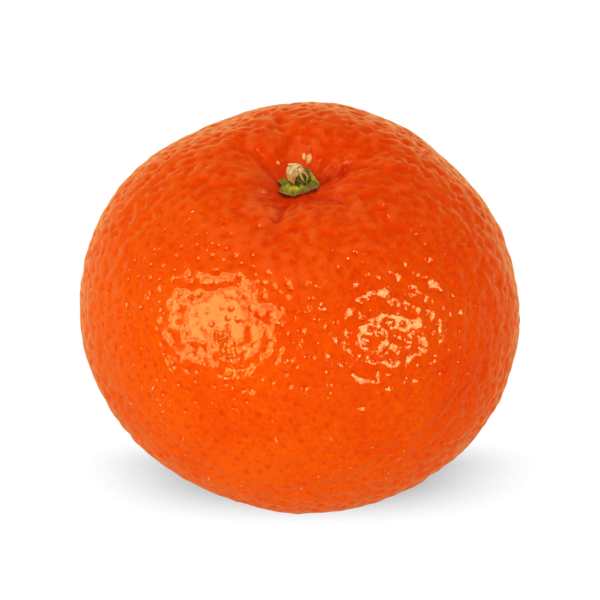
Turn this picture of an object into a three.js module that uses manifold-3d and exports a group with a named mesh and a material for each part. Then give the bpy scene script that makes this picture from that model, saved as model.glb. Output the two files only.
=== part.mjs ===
// A fresh mandarin, picked, with its green calyx and the torn stub of its stem.
// Millimetres, +Z up. The table is z = 0 and the fruit's axis is the Z axis.
// Four bodies: the fruit (peel, pith and flesh grown as one), the calyx, the stem stub's
// green core and the dry fibres torn loose round it.

import * as THREE from 'three';
import Module from 'manifold-3d';
import { ConvexHull } from 'three/addons/math/ConvexHull.js';
import { mergeVertices } from 'three/addons/utils/BufferGeometryUtils.js';

// Driving dimensions of the fruit
const fruitRadius = 32;
const fruitHalfHeight = 26.6;
const squareness = 2.14;
const centreHeight = 25.9;

// The hollow that the calyx sits in: a wide shallow dish with a steeper cup in its middle
const dishDepth = 2.3;
const dishRadius = 8.6;
const cupDepth = 1.5;
const cupRadius = 4.2;

// The blossom end under the fruit, and the ring round it that the fruit rests on
const blossomDepth = 1.7;
const blossomRadius = 3.4;

// Furrows that run out from the calyx: where they lie round the axis, how they turn on
// their way out, where they start and end, how deep and how wide they are
const furrows = [
  { azimuth: 141, turn: -0.5, from: 2.4, to: 15, depth: 1.9, width: 2.0 },
  { azimuth: 103, turn: -0.4, from: 4.0, to: 20, depth: 1.5, width: 2.4 },
  { azimuth: 29, turn: 0.1, from: 2.4, to: 17, depth: 2.0, width: 1.9 },
  { azimuth: 326, turn: -0.9, from: 3.2, to: 12, depth: 0.9, width: 1.1 },
  { azimuth: 243, turn: 0.7, from: 2.6, to: 15, depth: 1.4, width: 1.4 },
  { azimuth: 211, turn: 0.4, from: 2.8, to: 13, depth: 0.9, width: 1.6 },
];
const furrowBottomRadius = 0.35;

// Slow swellings and flats of the outline: azimuth and elevation of the middle, and how
// far the peel stands out there, or in where it is flatter
const swellingReach = 17;
const swellings = [
  { azimuth: 210, elevation: -28, height: -0.5 },
  { azimuth: 236, elevation: -41, height: -1.5 },
  { azimuth: 334, elevation: -24, height: 0.25 },
  { azimuth: 354, elevation: -6, height: -0.1 },
  { azimuth: 12, elevation: 12, height: -0.7 },
  { azimuth: 30, elevation: 28, height: -0.95 },
  { azimuth: 53, elevation: 39, height: -0.3 },
  { azimuth: 124, elevation: 41, height: -1.25 },
];

// The peel's pits, larger than life and fewer, so that they read at arm's length
const pitCount = 1500;
const pitCrowding = 1.25;
const pitJitter = 0.2;
const pitDepth = 0.5;
const crestUnevenness = 0.25;
const smoothCrownRadius = 4;
const pittedCrownRadius = 12;
const smoothBaseRadius = 9.5;
const pittedBaseRadius = 14;

// Calyx: five sepals grown together, with a gap of one clearance above the peel
const clearance = 0.3;
const calyxHubRadius = 1.62;
const calyxHubHeight = 0.8;
const sepalEdgeThickness = 0.34;
const sepals = [
  { azimuth: 14, length: 2.85, halfAngle: 52 },
  { azimuth: 64, length: 2.6, halfAngle: 40 },
  { azimuth: 151, length: 3.35, halfAngle: 26 },
  { azimuth: 193, length: 3.2, halfAngle: 40 },
  { azimuth: 262, length: 2.05, halfAngle: 70 },
];

// Stem stub: a green core that leans a little, under a cap of dry fibres
const coreMiddle = new THREE.Vector2(0.22, 0.55);
const coreFootRadius = 1.05;
const coreTopRadius = 0.72;
const coreHeight = 0.85;
const capPlace = new THREE.Vector2(-0.72, 0.62);
const capFootRadius = 0.95;
const capTopRadius = 1.2;
const capHeight = 0.95;
const stemLean = new THREE.Vector2(-0.25, 0.08);
const strandThickness = 0.34;

const degree = Math.PI / 180;

// A seeded source of numbers from 0 to 1, the same on every run
function randomFrom(seed) {
  let state = seed;
  return () => {
    state = (state * 1664525 + 1013904223) % 4294967296;
    return state / 4294967296;
  };
}

function direction(azimuthDegrees, elevationDegrees) {
  const flat = Math.cos(elevationDegrees * degree);
  return new THREE.Vector3(
    flat * Math.cos(azimuthDegrees * degree),
    flat * Math.sin(azimuthDegrees * degree),
    Math.sin(elevationDegrees * degree),
  );
}

function signedTurn(from, to) {
  return Math.atan2(Math.sin(to - from), Math.cos(to - from));
}

// A furrow is a soft V: its depth dies away exponentially on both sides of its line
function furrowDepth(furrow, radius, azimuth) {
  const line = (furrow.azimuth + furrow.turn * (radius - furrow.from)) * degree;
  const turn = signedTurn(line, azimuth);
  if (Math.abs(turn) > Math.PI / 2) {
    return 0;
  }
  const sideways = Math.hypot(radius * Math.sin(turn), furrowBottomRadius);
  const across = Math.exp(-(sideways - furrowBottomRadius) / furrow.width);
  const starts = THREE.MathUtils.smoothstep(radius, furrow.from - 2.5, furrow.from + 2.5);
  const ends = 1 - THREE.MathUtils.smoothstep(radius, furrow.to * 0.45, furrow.to);
  return furrow.depth * across * starts * ends;
}

function crownHollow(radius, azimuth) {
  let depth = dishDepth * Math.exp(-((radius / dishRadius) ** 2));
  depth += cupDepth * Math.exp(-((radius / cupRadius) ** 2));
  for (const furrow of furrows) {
    depth += furrowDepth(furrow, radius, azimuth);
  }
  return depth;
}

// The peel's surface in one direction from the fruit's centre, sunk inwards by a pit's depth
function peelPoint(toward, sunk = 0) {
  const flat = Math.hypot(toward.x, toward.y);
  const share = (flat / fruitRadius) ** squareness
    + (Math.abs(toward.z) / fruitHalfHeight) ** squareness;
  let reach = share ** (-1 / squareness) - sunk;
  for (const swelling of swellings) {
    const angle = toward.angleTo(direction(swelling.azimuth, swelling.elevation)) / degree;
    reach += swelling.height * Math.exp(-((angle / swellingReach) ** 2));
  }
  const point = toward.clone().multiplyScalar(reach);
  const radius = Math.hypot(point.x, point.y);
  if (toward.z > 0) {
    point.z -= crownHollow(radius, Math.atan2(point.y, point.x));
  } else {
    point.z += blossomDepth * Math.exp(-((radius / blossomRadius) ** 2));
  }
  point.z = Math.max(point.z + centreHeight, 0);
  return point;
}

// Height of the peel over a point near the axis, found by walking out along the azimuth
function peelHeight(x, y) {
  const radius = Math.hypot(x, y);
  const azimuth = Math.atan2(y, x);
  const share = 1 - (radius / fruitRadius) ** squareness;
  return centreHeight + fruitHalfHeight * share ** (1 / squareness) - crownHollow(radius, azimuth);
}

function pitDepthAt(toward) {
  const radius = Math.hypot(toward.x, toward.y) * fruitRadius;
  const { smoothstep } = THREE.MathUtils;
  if (toward.z > 0) {
    return pitDepth * smoothstep(radius, smoothCrownRadius, pittedCrownRadius);
  }
  return pitDepth * smoothstep(radius, smoothBaseRadius, pittedBaseRadius);
}

// Pits on a spiral, closer together towards the stem, each shifted a little at random
function pitDirections() {
  const random = randomFrom(20);
  const goldenTurn = Math.PI * (3 - Math.sqrt(5));
  const spacing = Math.sqrt((4 * Math.PI) / pitCount);
  const directions = [];
  for (let i = 0; i < pitCount; i += 1) {
    const share = (i + 0.5) / pitCount;
    const height = 1 - 2 * share ** pitCrowding;
    const flat = Math.sqrt(1 - height * height);
    const place = new THREE.Vector3(
      flat * Math.cos(i * goldenTurn),
      flat * Math.sin(i * goldenTurn),
      height,
    );
    const shift = new THREE.Vector3(random() - 0.5, random() - 0.5, random() - 0.5);
    const room = spacing * share ** ((pitCrowding - 1) / 2);
    directions.push(place.addScaledVector(shift, 2 * pitJitter * room).normalize());
  }
  return directions;
}

function solidGeometry(points, triangles) {
  const geometry = new THREE.BufferGeometry();
  const coordinates = points.flatMap((p) => [p.x, p.y, p.z]);
  geometry.setAttribute('position', new THREE.Float32BufferAttribute(coordinates, 3));
  geometry.setIndex(triangles);
  geometry.computeVertexNormals();
  return geometry;
}

// Each pit is a fan of triangles from its bottom to the crests round it. The crests stand
// over the middles of the triangles that join neighbouring pits.
function fruitGeometry() {
  const random = randomFrom(77);
  const pits = pitDirections();
  const hull = new ConvexHull().setFromPoints(pits);
  const number = new Map(pits.map((pit, i) => [pit, i]));
  const points = pits.map((pit) => peelPoint(pit, pitDepthAt(pit) * (0.5 + random())));
  for (const face of hull.faces) {
    face.crest = points.length;
    const middle = new THREE.Vector3();
    for (let corner = 0; corner < 3; corner += 1) {
      middle.add(face.getEdge(corner).head().point);
    }
    middle.normalize();
    const share = pitDepthAt(middle) / pitDepth;
    points.push(peelPoint(middle, crestUnevenness * share * random()));
  }
  const triangles = [];
  for (const face of hull.faces) {
    for (let side = 0; side < 3; side += 1) {
      const edge = face.getEdge(side);
      triangles.push(number.get(edge.tail().point), edge.twin.face.crest, face.crest);
    }
  }
  return solidGeometry(points, triangles);
}

// A closed skin over rings of equal counts, from a point at the bottom to one at the top
function ringedGeometry(bottom, rings, top) {
  const count = rings[0].length;
  const points = [bottom, ...rings.flat(), top];
  const last = points.length - 1;
  const triangles = [];
  for (let i = 0; i < count; i += 1) {
    const next = (i + 1) % count;
    triangles.push(0, 1 + next, 1 + i);
    for (let ring = 0; ring + 1 < rings.length; ring += 1) {
      const low = 1 + ring * count;
      const high = low + count;
      triangles.push(low + i, low + next, high + next);
      triangles.push(low + i, high + next, high + i);
    }
    triangles.push(last - count + i, last - count + next, last);
  }
  return solidGeometry(points, triangles);
}

// The calyx's outline: a round hub with one pointed sepal in each of five directions
function calyxReach(azimuth) {
  let reach = calyxHubRadius;
  for (const sepal of sepals) {
    const turn = Math.abs(signedTurn(sepal.azimuth * degree, azimuth)) / degree;
    const share = Math.max(0, 1 - turn / sepal.halfAngle);
    reach = Math.max(reach, calyxHubRadius + (sepal.length - calyxHubRadius) * share ** 1.2);
  }
  return reach;
}

// The upper face of the calyx over the peel, from the hub's height down to the thin edge
function calyxTop(share) {
  const fall = THREE.MathUtils.smoothstep(share, 0.25, 1);
  return clearance + THREE.MathUtils.lerp(calyxHubHeight, sepalEdgeThickness, fall);
}

function calyxGeometry() {
  const segments = 60;
  const ring = (share, height) => Array.from({ length: segments }, (_, i) => {
    const azimuth = (i / segments) * 2 * Math.PI;
    const radius = calyxReach(azimuth) * share;
    const x = radius * Math.cos(azimuth);
    const y = radius * Math.sin(azimuth);
    return new THREE.Vector3(x, y, peelHeight(x, y) + height);
  });
  const under = [0.35, 0.7, 1].map((share) => ring(share, clearance));
  const over = [1, 0.85, 0.65, 0.4].map((share) => ring(share * 0.99, calyxTop(share)));
  const foot = new THREE.Vector3(0, 0, peelHeight(0, 0) + clearance);
  const crest = new THREE.Vector3(0, 0, peelHeight(0, 0) + calyxTop(0));
  return ringedGeometry(foot, [...under, ...over], crest);
}

// A stub with a fluted side: its radius goes from foot to top and its middle leans
function stubGeometry({ foot, footRadius, topRadius, height, flutes, fluteDepth, crown, seed }) {
  const segments = 28;
  const levels = 4;
  const random = randomFrom(seed);
  const ragged = Array.from({ length: segments }, () => crown * (random() - 0.35));
  const middleAt = (share) => new THREE.Vector3(
    foot.x + stemLean.x * height * share,
    foot.y + stemLean.y * height * share,
    foot.z + height * share,
  );
  const rings = [];
  for (let level = 0; level <= levels; level += 1) {
    const share = level / levels;
    const radius = THREE.MathUtils.lerp(footRadius, topRadius, share);
    rings.push(ragged.map((rise, i) => {
      const azimuth = (i / segments) * 2 * Math.PI;
      const fluted = radius * (1 + fluteDepth * Math.cos(flutes * azimuth));
      const offset = new THREE.Vector3(fluted * Math.cos(azimuth), fluted * Math.sin(azimuth), 0);
      return middleAt(share).add(offset).setZ(foot.z + height * share + rise * share);
    }));
  }
  return ringedGeometry(foot, rings, middleAt(0.9));
}

// A flat dry strand along a curve, broad where it leaves the cap and pointed at its end
function strandGeometry(path, width) {
  const steps = 8;
  const curve = new THREE.CatmullRomCurve3(path);
  const axis = new THREE.Vector3(path[0].x, path[0].y, 0);
  const outwards = axis.sub(new THREE.Vector3(capMiddle.x, capMiddle.y, 0)).normalize();
  const rings = [];
  for (let step = 0; step <= steps; step += 1) {
    const share = 0.04 + (0.92 * step) / steps;
    const along = curve.getTangent(share);
    const side = new THREE.Vector3().crossVectors(along, outwards).normalize();
    const face = new THREE.Vector3().crossVectors(side, along).normalize();
    const half = (width / 2) * (1 - 0.6 * share);
    const thick = (strandThickness / 2) * (1 - 0.3 * share);
    const corners = [[half, 0], [half * 0.5, -thick], [-half * 0.5, -thick],
      [-half, 0], [-half * 0.5, thick], [half * 0.5, thick]];
    rings.push(corners.map(([across, through]) => curve.getPoint(share)
      .addScaledVector(side, across).addScaledVector(face, through)));
  }
  return ringedGeometry(curve.getPoint(0), rings, curve.getPoint(1));
}

const wasm = await Module();
wasm.setup();

function toSolid(geometry) {
  const bare = geometry.clone();
  bare.deleteAttribute('normal');
  bare.deleteAttribute('uv');
  const merged = mergeVertices(bare);
  return new wasm.Manifold(new wasm.Mesh({
    numProp: 3,
    vertProperties: new Float32Array(merged.attributes.position.array),
    triVerts: new Uint32Array(merged.index.array),
  }));
}

function fromSolid(solid) {
  const { vertProperties, triVerts } = solid.getMesh();
  const geometry = new THREE.BufferGeometry();
  geometry.setAttribute('position', new THREE.BufferAttribute(vertProperties, 3));
  geometry.setIndex(new THREE.BufferAttribute(triVerts, 1));
  geometry.computeVertexNormals();
  return geometry;
}

const coreLevel = peelHeight(0, 0) + calyxTop(0) + clearance;
const coreFoot = new THREE.Vector3(coreMiddle.x, coreMiddle.y, coreLevel);
const capMiddle = new THREE.Vector3(capPlace.x, capPlace.y, coreLevel + coreHeight + clearance);

function coreGeometry() {
  return stubGeometry({
    foot: coreFoot,
    footRadius: coreFootRadius,
    topRadius: coreTopRadius,
    height: coreHeight,
    flutes: 5,
    fluteDepth: 0.06,
    crown: 0.1,
    seed: 5,
  });
}

// The cap and its strands are one tangle of dry fibre. Each strand starts inside the cap
// and hangs down past the core, clear of it and of the calyx.
function fibresGeometry() {
  const cap = stubGeometry({
    foot: capMiddle,
    footRadius: capFootRadius,
    topRadius: capTopRadius,
    height: capHeight,
    flutes: 7,
    fluteDepth: 0.1,
    crown: 0.5,
    seed: 11,
  });
  const strands = [
    { azimuth: 170, rise: 0.6, reach: 1.4, drop: 0.9, width: 0.8 },
    { azimuth: 208, rise: 0.6, reach: 1.4, drop: 1.0, width: 0.85 },
    { azimuth: 246, rise: 0.6, reach: 1.35, drop: 1.0, width: 0.75 },
    { azimuth: 308, rise: 0.5, reach: 1.85, drop: 0.8, width: 0.55 },
    { azimuth: 342, rise: 0.5, reach: 2.35, drop: 0.85, width: 0.6 },
  ];
  let solid = toSolid(cap);
  for (const { azimuth, rise, reach, drop, width } of strands) {
    const out = direction(azimuth, 0);
    const at = (distance, height) => capMiddle.clone()
      .addScaledVector(out, distance).add(new THREE.Vector3(0, 0, height));
    const path = [at(0.25, rise), at(0.95, rise * 0.8), at(reach * 0.88, -0.1), at(reach, -drop)];
    solid = solid.add(toSolid(strandGeometry(path, width)));
  }
  return fromSolid(solid);
}

function piece(name, geometry, colour, roughness) {
  const material = new THREE.MeshStandardMaterial({ color: colour, roughness, metalness: 0 });
  const mesh = new THREE.Mesh(geometry, material);
  mesh.name = name;
  return mesh;
}

const mandarin = new THREE.Group();
mandarin.add(
  piece('fruit', fruitGeometry(), 0xef5207, 0.4),
  piece('calyx', calyxGeometry(), 0x8a9a22, 0.7),
  piece('stem_core', coreGeometry(), 0x2f5a1c, 0.7),
  piece('stem_fibres', fibresGeometry(), 0xc9ac7c, 0.9),
);

export default mandarin;
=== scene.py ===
# A fresh mandarin with its calyx and torn stem stub, on a plain pale table in soft studio light.
# The peel, the calyx and the stem are surfaces worked out on grids in millimetres, over the CAD form.
import math

import bpy
import numpy as np
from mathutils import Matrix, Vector


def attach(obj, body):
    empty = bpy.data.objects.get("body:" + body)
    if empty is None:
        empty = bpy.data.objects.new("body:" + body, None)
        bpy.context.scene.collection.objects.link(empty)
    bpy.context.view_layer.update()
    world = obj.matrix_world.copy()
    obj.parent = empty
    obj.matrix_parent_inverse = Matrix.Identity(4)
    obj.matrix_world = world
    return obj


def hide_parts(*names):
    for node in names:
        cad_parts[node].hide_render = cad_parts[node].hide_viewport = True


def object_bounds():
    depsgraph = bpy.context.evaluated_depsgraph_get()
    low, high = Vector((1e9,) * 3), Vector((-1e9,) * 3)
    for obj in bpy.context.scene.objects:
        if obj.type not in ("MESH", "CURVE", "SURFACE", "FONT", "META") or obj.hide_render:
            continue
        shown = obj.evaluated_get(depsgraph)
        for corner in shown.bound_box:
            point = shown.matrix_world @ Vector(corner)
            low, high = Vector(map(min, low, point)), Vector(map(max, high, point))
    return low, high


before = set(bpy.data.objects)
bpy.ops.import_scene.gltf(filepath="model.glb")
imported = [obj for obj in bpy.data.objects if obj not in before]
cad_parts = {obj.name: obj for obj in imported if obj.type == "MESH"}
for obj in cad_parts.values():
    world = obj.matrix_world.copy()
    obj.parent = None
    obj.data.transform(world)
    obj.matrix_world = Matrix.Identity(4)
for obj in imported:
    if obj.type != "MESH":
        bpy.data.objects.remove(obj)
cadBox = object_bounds()
print("frame loaded:", ", ".join(sorted(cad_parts)))

mm = 0.001

# how the photograph was taken: the fruit's middle falls on middlePixel of a frame frame pixels wide
photo = {
    "elevation": 44.0,              # degrees above the table
    "distance": 400.0,              # mm from the camera to the fruit's middle
    "pixelsPerMm": 6.895,           # in the plane of the fruit's middle
    "middlePixel": (300.67, 304.83),
    "frame": 600,
    "sensor": 36.0,
}

# the fruit's form, the same as the CAD's, in mm and degrees
form = {
    "radius": 32.0,
    "halfHeight": 26.6,
    "squareness": 2.14,
    "centreHeight": 25.9,
    "dishDepth": 2.3, "dishRadius": 8.6,
    "cupDepth": 1.5, "cupRadius": 4.2,
    "blossomDepth": 1.7, "blossomRadius": 3.4,
    "furrowBottomRadius": 0.35,
    "swellingReach": 17.0,
}
furrows = [
    {"azimuth": 141, "turn": -0.5, "from": 2.4, "to": 15, "depth": 1.9, "width": 2.0},
    {"azimuth": 103, "turn": -0.4, "from": 4.0, "to": 20, "depth": 1.5, "width": 2.4},
    {"azimuth": 29, "turn": 0.1, "from": 2.4, "to": 17, "depth": 2.0, "width": 1.9},
    {"azimuth": 326, "turn": -0.9, "from": 3.2, "to": 12, "depth": 0.9, "width": 1.1},
    {"azimuth": 243, "turn": 0.7, "from": 2.6, "to": 15, "depth": 1.4, "width": 1.4},
    {"azimuth": 211, "turn": 0.4, "from": 2.8, "to": 13, "depth": 0.9, "width": 1.6},
]
# the sharp folds at their bottoms, one for each furrow: depth, half width, start and end in mm
folds = [
    {"depth": 0.18, "width": 0.55, "from": 3.0, "to": 9.0},
    {"depth": 0.08, "width": 0.60, "from": 4.5, "to": 8.0},
    {"depth": 0.38, "width": 0.42, "from": 2.8, "to": 10.5},
    {"depth": 0.32, "width": 0.34, "from": 4.0, "to": 9.8},
    {"depth": 0.28, "width": 0.32, "from": 2.4, "to": 12.0},
    {"depth": 0.16, "width": 0.50, "from": 3.0, "to": 9.0},
]
swellings = [
    {"azimuth": 210, "elevation": -28, "height": -0.5},
    {"azimuth": 236, "elevation": -41, "height": -1.5},
    {"azimuth": 334, "elevation": -24, "height": 0.25},
    {"azimuth": 354, "elevation": -6, "height": -0.1},
    {"azimuth": 12, "elevation": 12, "height": -0.7},
    {"azimuth": 30, "elevation": 28, "height": -0.95},
    {"azimuth": 53, "elevation": 39, "height": -0.3},
    {"azimuth": 124, "elevation": 41, "height": -1.25},
]


# numbers on grids

def smoothstep(x, low, high):
    # 3t^2 - 2t^3, with t from 0 at low to 1 at high
    t = np.clip((x - low) / (high - low), 0, 1)
    return t * t * (3 - 2 * t)


def band(x, riseFrom, riseTo, fallFrom, fallTo):
    # from 0 up to 1 over the rise and down to 0 again over the fall
    return smoothstep(x, riseFrom, riseTo) * (1 - smoothstep(x, fallFrom, fallTo))


def unit(azimuth, elevation):
    # the direction at these degrees round from +X and up from the table
    a, e = math.radians(azimuth), math.radians(elevation)
    return np.array([math.cos(e) * math.cos(a), math.cos(e) * math.sin(a), math.sin(e)])


def normalised(vectors):
    # each vector divided by its own length
    return vectors / np.linalg.norm(vectors, axis=-1, keepdims=True)


def polar(points):
    # distance from the upright axis and azimuth in radians
    return np.hypot(points[:, 0], points[:, 1]), np.arctan2(points[:, 1], points[:, 0])


def waves(points, length, count, seed):
    # a smooth random field of about unit size: cosines in count random directions, near one wave length
    rng = np.random.default_rng(seed)
    along = normalised(rng.normal(size=(count, 3)))
    along *= (2 * np.pi / length) * rng.uniform(0.7, 1.35, (count, 1))
    phase = rng.uniform(0, 2 * np.pi, count)
    return np.cos(points @ along.T + phase).sum(1) * math.sqrt(2 / count)


def flatWaves(x, y, length, count, seed):
    # the same field read straight down over a grid of x and y
    return waves(np.stack([x, y, 0 * x], -1).reshape(-1, 3), length, count, seed).reshape(x.shape)


def turnFromFurrow(furrow, radius, azimuth, wander=0.0):
    # signed angle from a furrow's line, which bends and may wander as it runs out, in radians
    line = np.radians(furrow["azimuth"] + furrow["turn"] * (radius - furrow["from"]) + wander)
    return np.arctan2(np.sin(azimuth - line), np.cos(azimuth - line))


def crownHollow(radius, azimuth):
    # a wide dish and a steep cup, both bell curves, and furrows: soft Vs that die away
    # exponentially to both sides of a line that runs out from the calyx
    depth = form["dishDepth"] * np.exp(-((radius / form["dishRadius"]) ** 2))
    depth = depth + form["cupDepth"] * np.exp(-((radius / form["cupRadius"]) ** 2))
    bottom = form["furrowBottomRadius"]
    for furrow in furrows:
        turn = turnFromFurrow(furrow, radius, azimuth)
        sideways = np.hypot(radius * np.sin(turn), bottom) - bottom
        start, end = furrow["from"], furrow["to"]
        share = band(radius, start - 2.5, start + 2.5, end * 0.45, end) * (np.abs(turn) < np.pi / 2)
        depth = depth + furrow["depth"] * share * np.exp(-sideways / furrow["width"])
    return depth


def crownFolds(points):
    # narrow bell-shaped folds along the furrows' lines, each with a low lip on both sides, and the share
    # of painted shade down each fold
    radius, azimuth = polar(points)
    top = points[:, 2] > form["centreHeight"]
    depth, shade = np.zeros(len(points)), np.zeros(len(points))
    for furrow, fold in zip(furrows, folds):
        turn = turnFromFurrow(furrow, radius, azimuth, 1.6 * np.sin(radius * 1.3 + furrow["azimuth"]))
        sideways = radius * np.sin(turn) / fold["width"]
        start, end = fold["from"], fold["to"]
        share = band(radius, start - 1.0, start + 0.8, end - 4.5, end) * (np.abs(turn) < 1.2) * top
        lips = 0.35 * np.exp(-((np.abs(sideways) - 1.9) ** 2))
        depth += fold["depth"] * share * (np.exp(-sideways ** 2) - lips)
        shade += np.minimum(1.0, 3 * fold["depth"]) * share * np.exp(-((sideways / 1.5) ** 2))
    return depth, np.clip(shade, 0, 1)


def peelPoint(toward, raised=0.0):
    # a squared ellipsoid (x/a)^m + (z/c)^m = 1 with bell-shaped swellings, lowered by the crown's
    # hollow, raised into the blossom end, and cut level with the table
    flat = np.hypot(toward[:, 0], toward[:, 1])
    m = form["squareness"]
    share = (flat / form["radius"]) ** m + (np.abs(toward[:, 2]) / form["halfHeight"]) ** m
    reach = share ** (-1 / m) + raised
    for swelling in swellings:
        middle = unit(swelling["azimuth"], swelling["elevation"])
        angle = np.degrees(np.arccos(np.clip(toward @ middle, -1, 1)))
        reach = reach + swelling["height"] * np.exp(-((angle / form["swellingReach"]) ** 2))
    points = toward * reach[:, None]
    radius, azimuth = polar(points)
    blossom = form["blossomDepth"] * np.exp(-((radius / form["blossomRadius"]) ** 2))
    points[:, 2] += np.where(toward[:, 2] > 0, -crownHollow(radius, azimuth), blossom)
    points[:, 2] = np.maximum(points[:, 2] + form["centreHeight"], 0)
    return points


def peelHeight(x, y):
    # the peel's height over a point near the axis, from the same curves
    radius = np.hypot(x, y)
    share = 1 - (radius / form["radius"]) ** form["squareness"]
    top = form["halfHeight"] * share ** (1 / form["squareness"])
    return form["centreHeight"] + top - crownHollow(radius, np.arctan2(y, x))


def cubeSphere(cells):
    # six square grids on a cube, their lines spaced by equal angles and blown out to unit length:
    # (tan a, tan b, 1) / length for a, b from -45 to 45 degrees. Gives directions, quads and a UV map.
    side = cells + 1
    t = np.tan(np.linspace(-np.pi / 4, np.pi / 4, side))
    a, b = (grid.ravel()[:, None] for grid in np.meshgrid(t, t))
    u, v = (grid.ravel() for grid in np.meshgrid(np.linspace(0, 1, side), np.linspace(0, 1, side)))
    axes = np.eye(3)
    directions, quads, corners = [], [], []
    first = (np.arange(cells)[:, None] * side + np.arange(cells)).ravel()
    quad = np.stack([first, first + 1, first + 1 + side, first + side], 1)
    margin = 0.012
    for face in range(6):
        out = axes[face // 2] * (1 if face % 2 == 0 else -1)
        across = axes[(face // 2 + 1) % 3]
        upward = np.cross(out, across)
        directions.append(normalised(out + a * across + b * upward))
        quads.append(quad + face * side * side)
        place = np.array([face % 3, face // 3])
        cell = (np.stack([u, v], 1) * (1 - 2 * margin) + margin + place) / (3, 2)
        corners.append(cell[quad])
    directions, quads = np.concatenate(directions), np.concatenate(quads)
    _, kept, where = np.unique(np.round(directions * 1e5), axis=0, return_index=True, return_inverse=True)
    return directions[kept], where.ravel()[quads], np.concatenate(corners).reshape(-1, 2)


def spiralDirections(count, jitter, seed, crowding=1.0):
    # sunflower spiral on the unit sphere, z = 1 - 2 s^crowding, each point shifted at random by jitter
    # of the spacing
    rng = np.random.default_rng(seed)
    share = (np.arange(count) + 0.5) / count
    z = 1 - 2 * share ** crowding
    turn = np.arange(count) * np.pi * (3 - math.sqrt(5))
    flat = np.sqrt(1 - z * z)
    points = np.stack([flat * np.cos(turn), flat * np.sin(turn), z], 1)
    spacing = math.sqrt(4 * np.pi / count) * share[:, None] ** ((crowding - 1) / 2)
    return normalised(points + rng.uniform(-1, 1, (count, 3)) * jitter * spacing)


def nearestOf(points, centres, count):
    # the count nearest centres of each point, and their distances, by |p|^2 - 2 p.c + |c|^2
    places = np.empty((len(points), count), int)
    gaps = np.empty((len(points), count))
    size = (centres ** 2).sum(1)
    for start in range(0, len(points), 4096):
        block = points[start:start + 4096]
        far = (block ** 2).sum(1)[:, None] + size - 2 * block @ centres.T
        near = np.argpartition(far, count, axis=1)[:, :count]
        squared = np.take_along_axis(far, near, 1)
        order = np.argsort(squared, axis=1)
        places[start:start + 4096] = np.take_along_axis(near, order, 1)
        gaps[start:start + 4096] = np.sqrt(np.maximum(np.take_along_axis(squared, order, 1), 0))
    return places, gaps


# meshes

def makeObject(name, points, faces, corners=None):
    # points in mm; corners is one UV pair for each corner of each face
    mesh = bpy.data.meshes.new(name)
    mesh.from_pydata((points * mm).tolist(), [], faces)
    if corners is not None:
        layer = mesh.uv_layers.new(name="OFBake")
        layer.data.foreach_set("uv", corners.astype(np.float32).ravel())
    mesh.shade_smooth()
    mesh.validate()
    made = bpy.data.objects.new(name, mesh)
    bpy.context.scene.collection.objects.link(made)
    return made


def giveAttribute(piece, name, values, domain):
    # a number or a vector for each point or face, kept on the mesh for its material to read
    kind = "FLOAT" if values.ndim == 1 else "FLOAT_VECTOR"
    layer = piece.data.attributes.new(name, kind, domain)
    layer.data.foreach_set("value" if values.ndim == 1 else "vector", values.astype(np.float32).ravel())


# shader nodes

def newMaterial(name):
    # a material with its node tree and its principled shader
    material = bpy.data.materials.new(name)
    material.use_nodes = True
    return material, material.node_tree, material.node_tree.nodes["Principled BSDF"]


def add(tree, kind, *values, **settings):
    # a shader node with its settings; each value is a socket to link or a number to set, in order
    made = tree.nodes.new("ShaderNode" + kind)
    for name, value in settings.items():
        setattr(made, name, value)
    for socket, value in zip(made.inputs, values):
        if isinstance(value, bpy.types.NodeSocket):
            tree.links.new(value, socket)
        elif value is not None:
            socket.default_value = value
    return made


def calc(tree, operation, *values, clamp=False):
    # the result of one operation on sockets or numbers
    return add(tree, "Math", *values, operation=operation, use_clamp=clamp).outputs[0]


def times(tree, value, *others, clamp=False):
    # the product of all the values
    for other in others:
        value = calc(tree, "MULTIPLY", value, other, clamp=clamp)
    return value


def plus(tree, value, *others, clamp=False):
    # the sum of all the values
    for other in others:
        value = calc(tree, "ADD", value, other, clamp=clamp)
    return value


def less(tree, value, other, clamp=False):
    # the first value less the second
    return calc(tree, "SUBTRACT", value, other, clamp=clamp)


def ramp(tree, value, fromLow, fromHigh, toLow=0.0, toHigh=1.0):
    # value carried smoothly from one range to the other, and held at its ends
    made = add(tree, "MapRange", value, fromLow, fromHigh, toLow, toHigh, interpolation_type="SMOOTHSTEP")
    return made.outputs[0]


def mixColour(tree, share, first, second):
    # first where share is 0 and second where it is 1; the colour sockets are numbers 6 and 7
    made = tree.nodes.new("ShaderNodeMix")
    made.data_type = "RGBA"
    sockets = made.inputs[0], made.inputs[6], made.inputs[7]
    for socket, value in zip(sockets, (share, first, second)):
        if isinstance(value, bpy.types.NodeSocket):
            tree.links.new(value, socket)
        else:
            socket.default_value = value if isinstance(value, float) else (*value[:3], 1)
    return made.outputs[2]


def tinted(tree, colour, look, *layers):
    # a colour under layers of the look's other colours, each with its share
    for share, tint in layers:
        colour = mixColour(tree, share, colour, look[tint])
    return colour


def attribute(tree, name, output="Fac"):
    # what giveAttribute kept under this name, as a number or a vector
    return add(tree, "Attribute", attribute_name=name, attribute_type="GEOMETRY").outputs[output]


def vectorMath(tree, operation, *values, output="Vector"):
    # the result of one operation on vectors, itself a vector or a number
    return add(tree, "VectorMath", *values, operation=operation).outputs[output]


def split(tree, vector):
    # the x, y and z of a vector
    return add(tree, "SeparateXYZ", vector).outputs


def noise(tree, coords, wavelength, detail=2.0, roughness=0.5, distortion=0.0):
    # Blender's noise with bumps about wavelength mm apart, from 0 to 1 about 0.5
    made = add(tree, "TexNoise", coords)
    made.inputs["Scale"].default_value = 1 / (wavelength * mm)
    made.inputs["Detail"].default_value = detail
    made.inputs["Roughness"].default_value = roughness
    made.inputs["Distortion"].default_value = distortion
    return made.outputs[0]


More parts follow.
